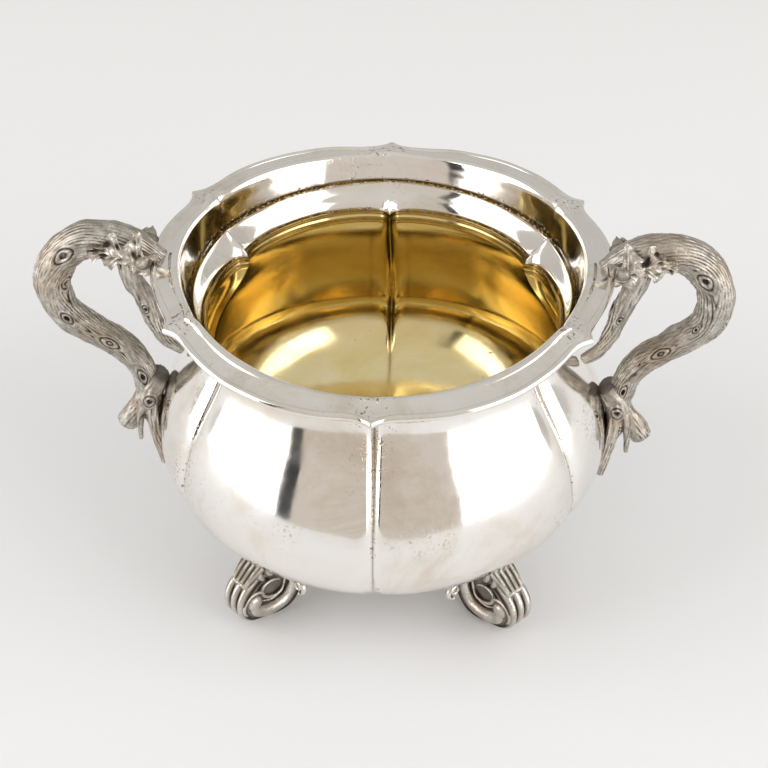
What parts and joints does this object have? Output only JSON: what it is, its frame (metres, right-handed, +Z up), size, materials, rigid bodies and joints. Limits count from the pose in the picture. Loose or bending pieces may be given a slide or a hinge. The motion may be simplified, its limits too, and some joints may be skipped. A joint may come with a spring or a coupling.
{
  "type": "open sugar bowl",
  "caption": "Open six-lobed silver bowl with gilt inside, flared cornered mouth, two cast oak-branch handles and four scroll feet.",
  "frame": {"origin": "on the table, on the bowl's own axis, at the centre of the underside of its box", "axes": "+Z up along the bowl's axis, +X towards the right handle, -Y to the front"},
  "size_m": [0.1886, 0.1272, 0.1097],
  "materials": {
    "polished_silver": "polished, with faint warm tarnish",
    "gilding": "satin gilt",
    "cast_foot_silver": "cast, polished on the ridges and oxidised in the hollows",
    "cast_bark_silver": "cast bark, satin and oxidised"
  },
  "bodies": {
    "root": {"bowl_body": "polished_silver", "gilt_lining": "gilding", "neck_collar": "polished_silver", "mouth_rim": "polished_silver", "rim_bead": "polished_silver", "foot_front_left_scroll": "cast_foot_silver", "foot_front_right_scroll": "cast_foot_silver", "foot_rear_left_scroll": "cast_foot_silver", "foot_rear_right_scroll": "cast_foot_silver", "foot_front_left_leaf": "cast_foot_silver", "foot_front_right_leaf": "cast_foot_silver", "foot_rear_left_leaf": "cast_foot_silver", "foot_rear_right_leaf": "cast_foot_silver", "left_branch": "cast_bark_silver", "left_root": "cast_bark_silver", "left_brace_twig": "cast_bark_silver", "left_lower_twigs": "cast_bark_silver", "left_cut_stub": "cast_bark_silver", "left_front_leaf": "cast_bark_silver", "left_rear_leaf": "cast_bark_silver", "left_front_acorn": "cast_bark_silver", "left_rear_acorn": "cast_bark_silver", "right_branch": "cast_bark_silver", "right_root": "cast_bark_silver", "right_brace_twig": "cast_bark_silver", "right_lower_twigs": "cast_bark_silver", "right_cut_stub": "cast_bark_silver", "right_front_leaf": "cast_bark_silver", "right_rear_leaf": "cast_bark_silver", "right_front_acorn": "cast_bark_silver", "right_rear_acorn": "cast_bark_silver"}
  },
  "joints": []
}
